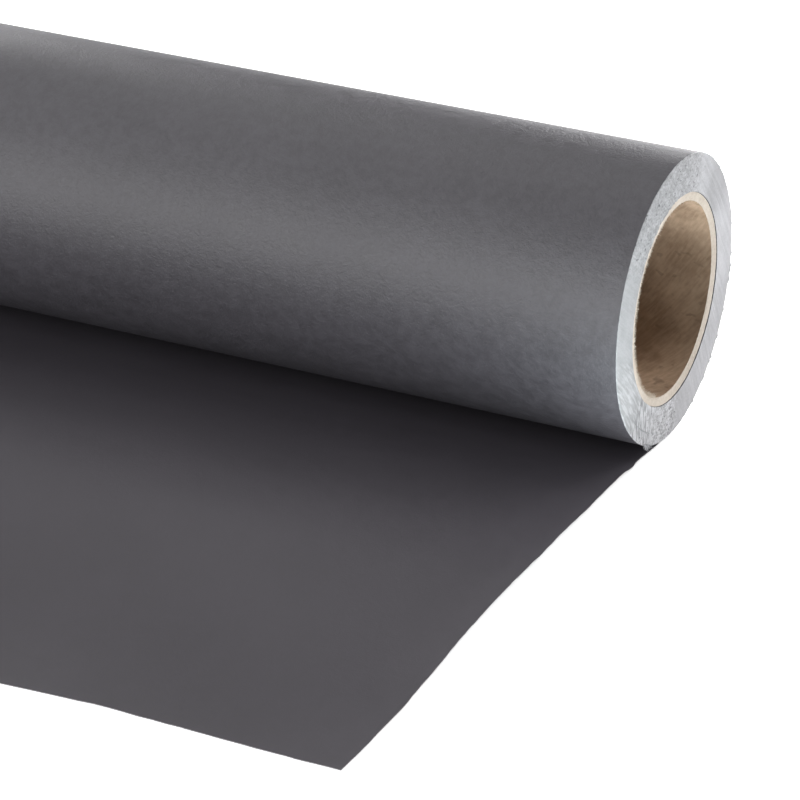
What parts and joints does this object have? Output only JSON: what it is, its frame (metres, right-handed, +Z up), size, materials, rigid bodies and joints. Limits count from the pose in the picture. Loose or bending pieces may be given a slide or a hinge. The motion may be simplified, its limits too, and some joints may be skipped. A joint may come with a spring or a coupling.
{
  "type": "backdrop paper roll",
  "caption": "Roll of plain grey studio backdrop paper on a spiral-wound board core, lying down with its free end drawn out flat in front; the roll turns as the sheet feeds.",
  "frame": {"origin": "on the axis of the core's bore, halfway along the roll", "axes": "+X along the roll, +Z up from the surface it lies on, and the free sheet leaves the underside of the roll towards -Y"},
  "size_m": [1.35, 0.2523, 0.0851],
  "materials": {
    "paper": "matt, very fine fibre mottle",
    "core_liner": "brown kraft, matt",
    "core_board": "cream board, sawn edge",
    "start_tape": "plain paper tape, matt"
  },
  "bodies": {
    "laid_paper": {"last_turn": "paper", "laid_sheet": "paper"},
    "roll": {"core_inner_ply": "core_liner", "core_second_ply": "core_board", "core_middle_ply": "core_board", "core_fourth_ply": "core_board", "core_outer_ply": "core_board", "start_tape": "start_tape", "wound_paper": "paper"},
    "free_end": {"leading_sheet": "paper"}
  },
  "joints": [
    {"name": "roll_turn", "type": "hinge", "parent": "laid_paper", "child": "roll", "pos_m": [0, 0, 0], "axis": [-1, 0, 0], "range_deg": [-110, 450]},
    {"name": "sheet_feed", "type": "slide", "parent": "laid_paper", "child": "free_end", "axis": [0, -1, 0], "range_m": [-0.082, 0.334], "deforming": ["laid_sheet"]}
  ],
  "couplings": [
    {"joint": "sheet_feed", "follows": "roll_turn", "m_per_rad": 0.0425}
  ]
}
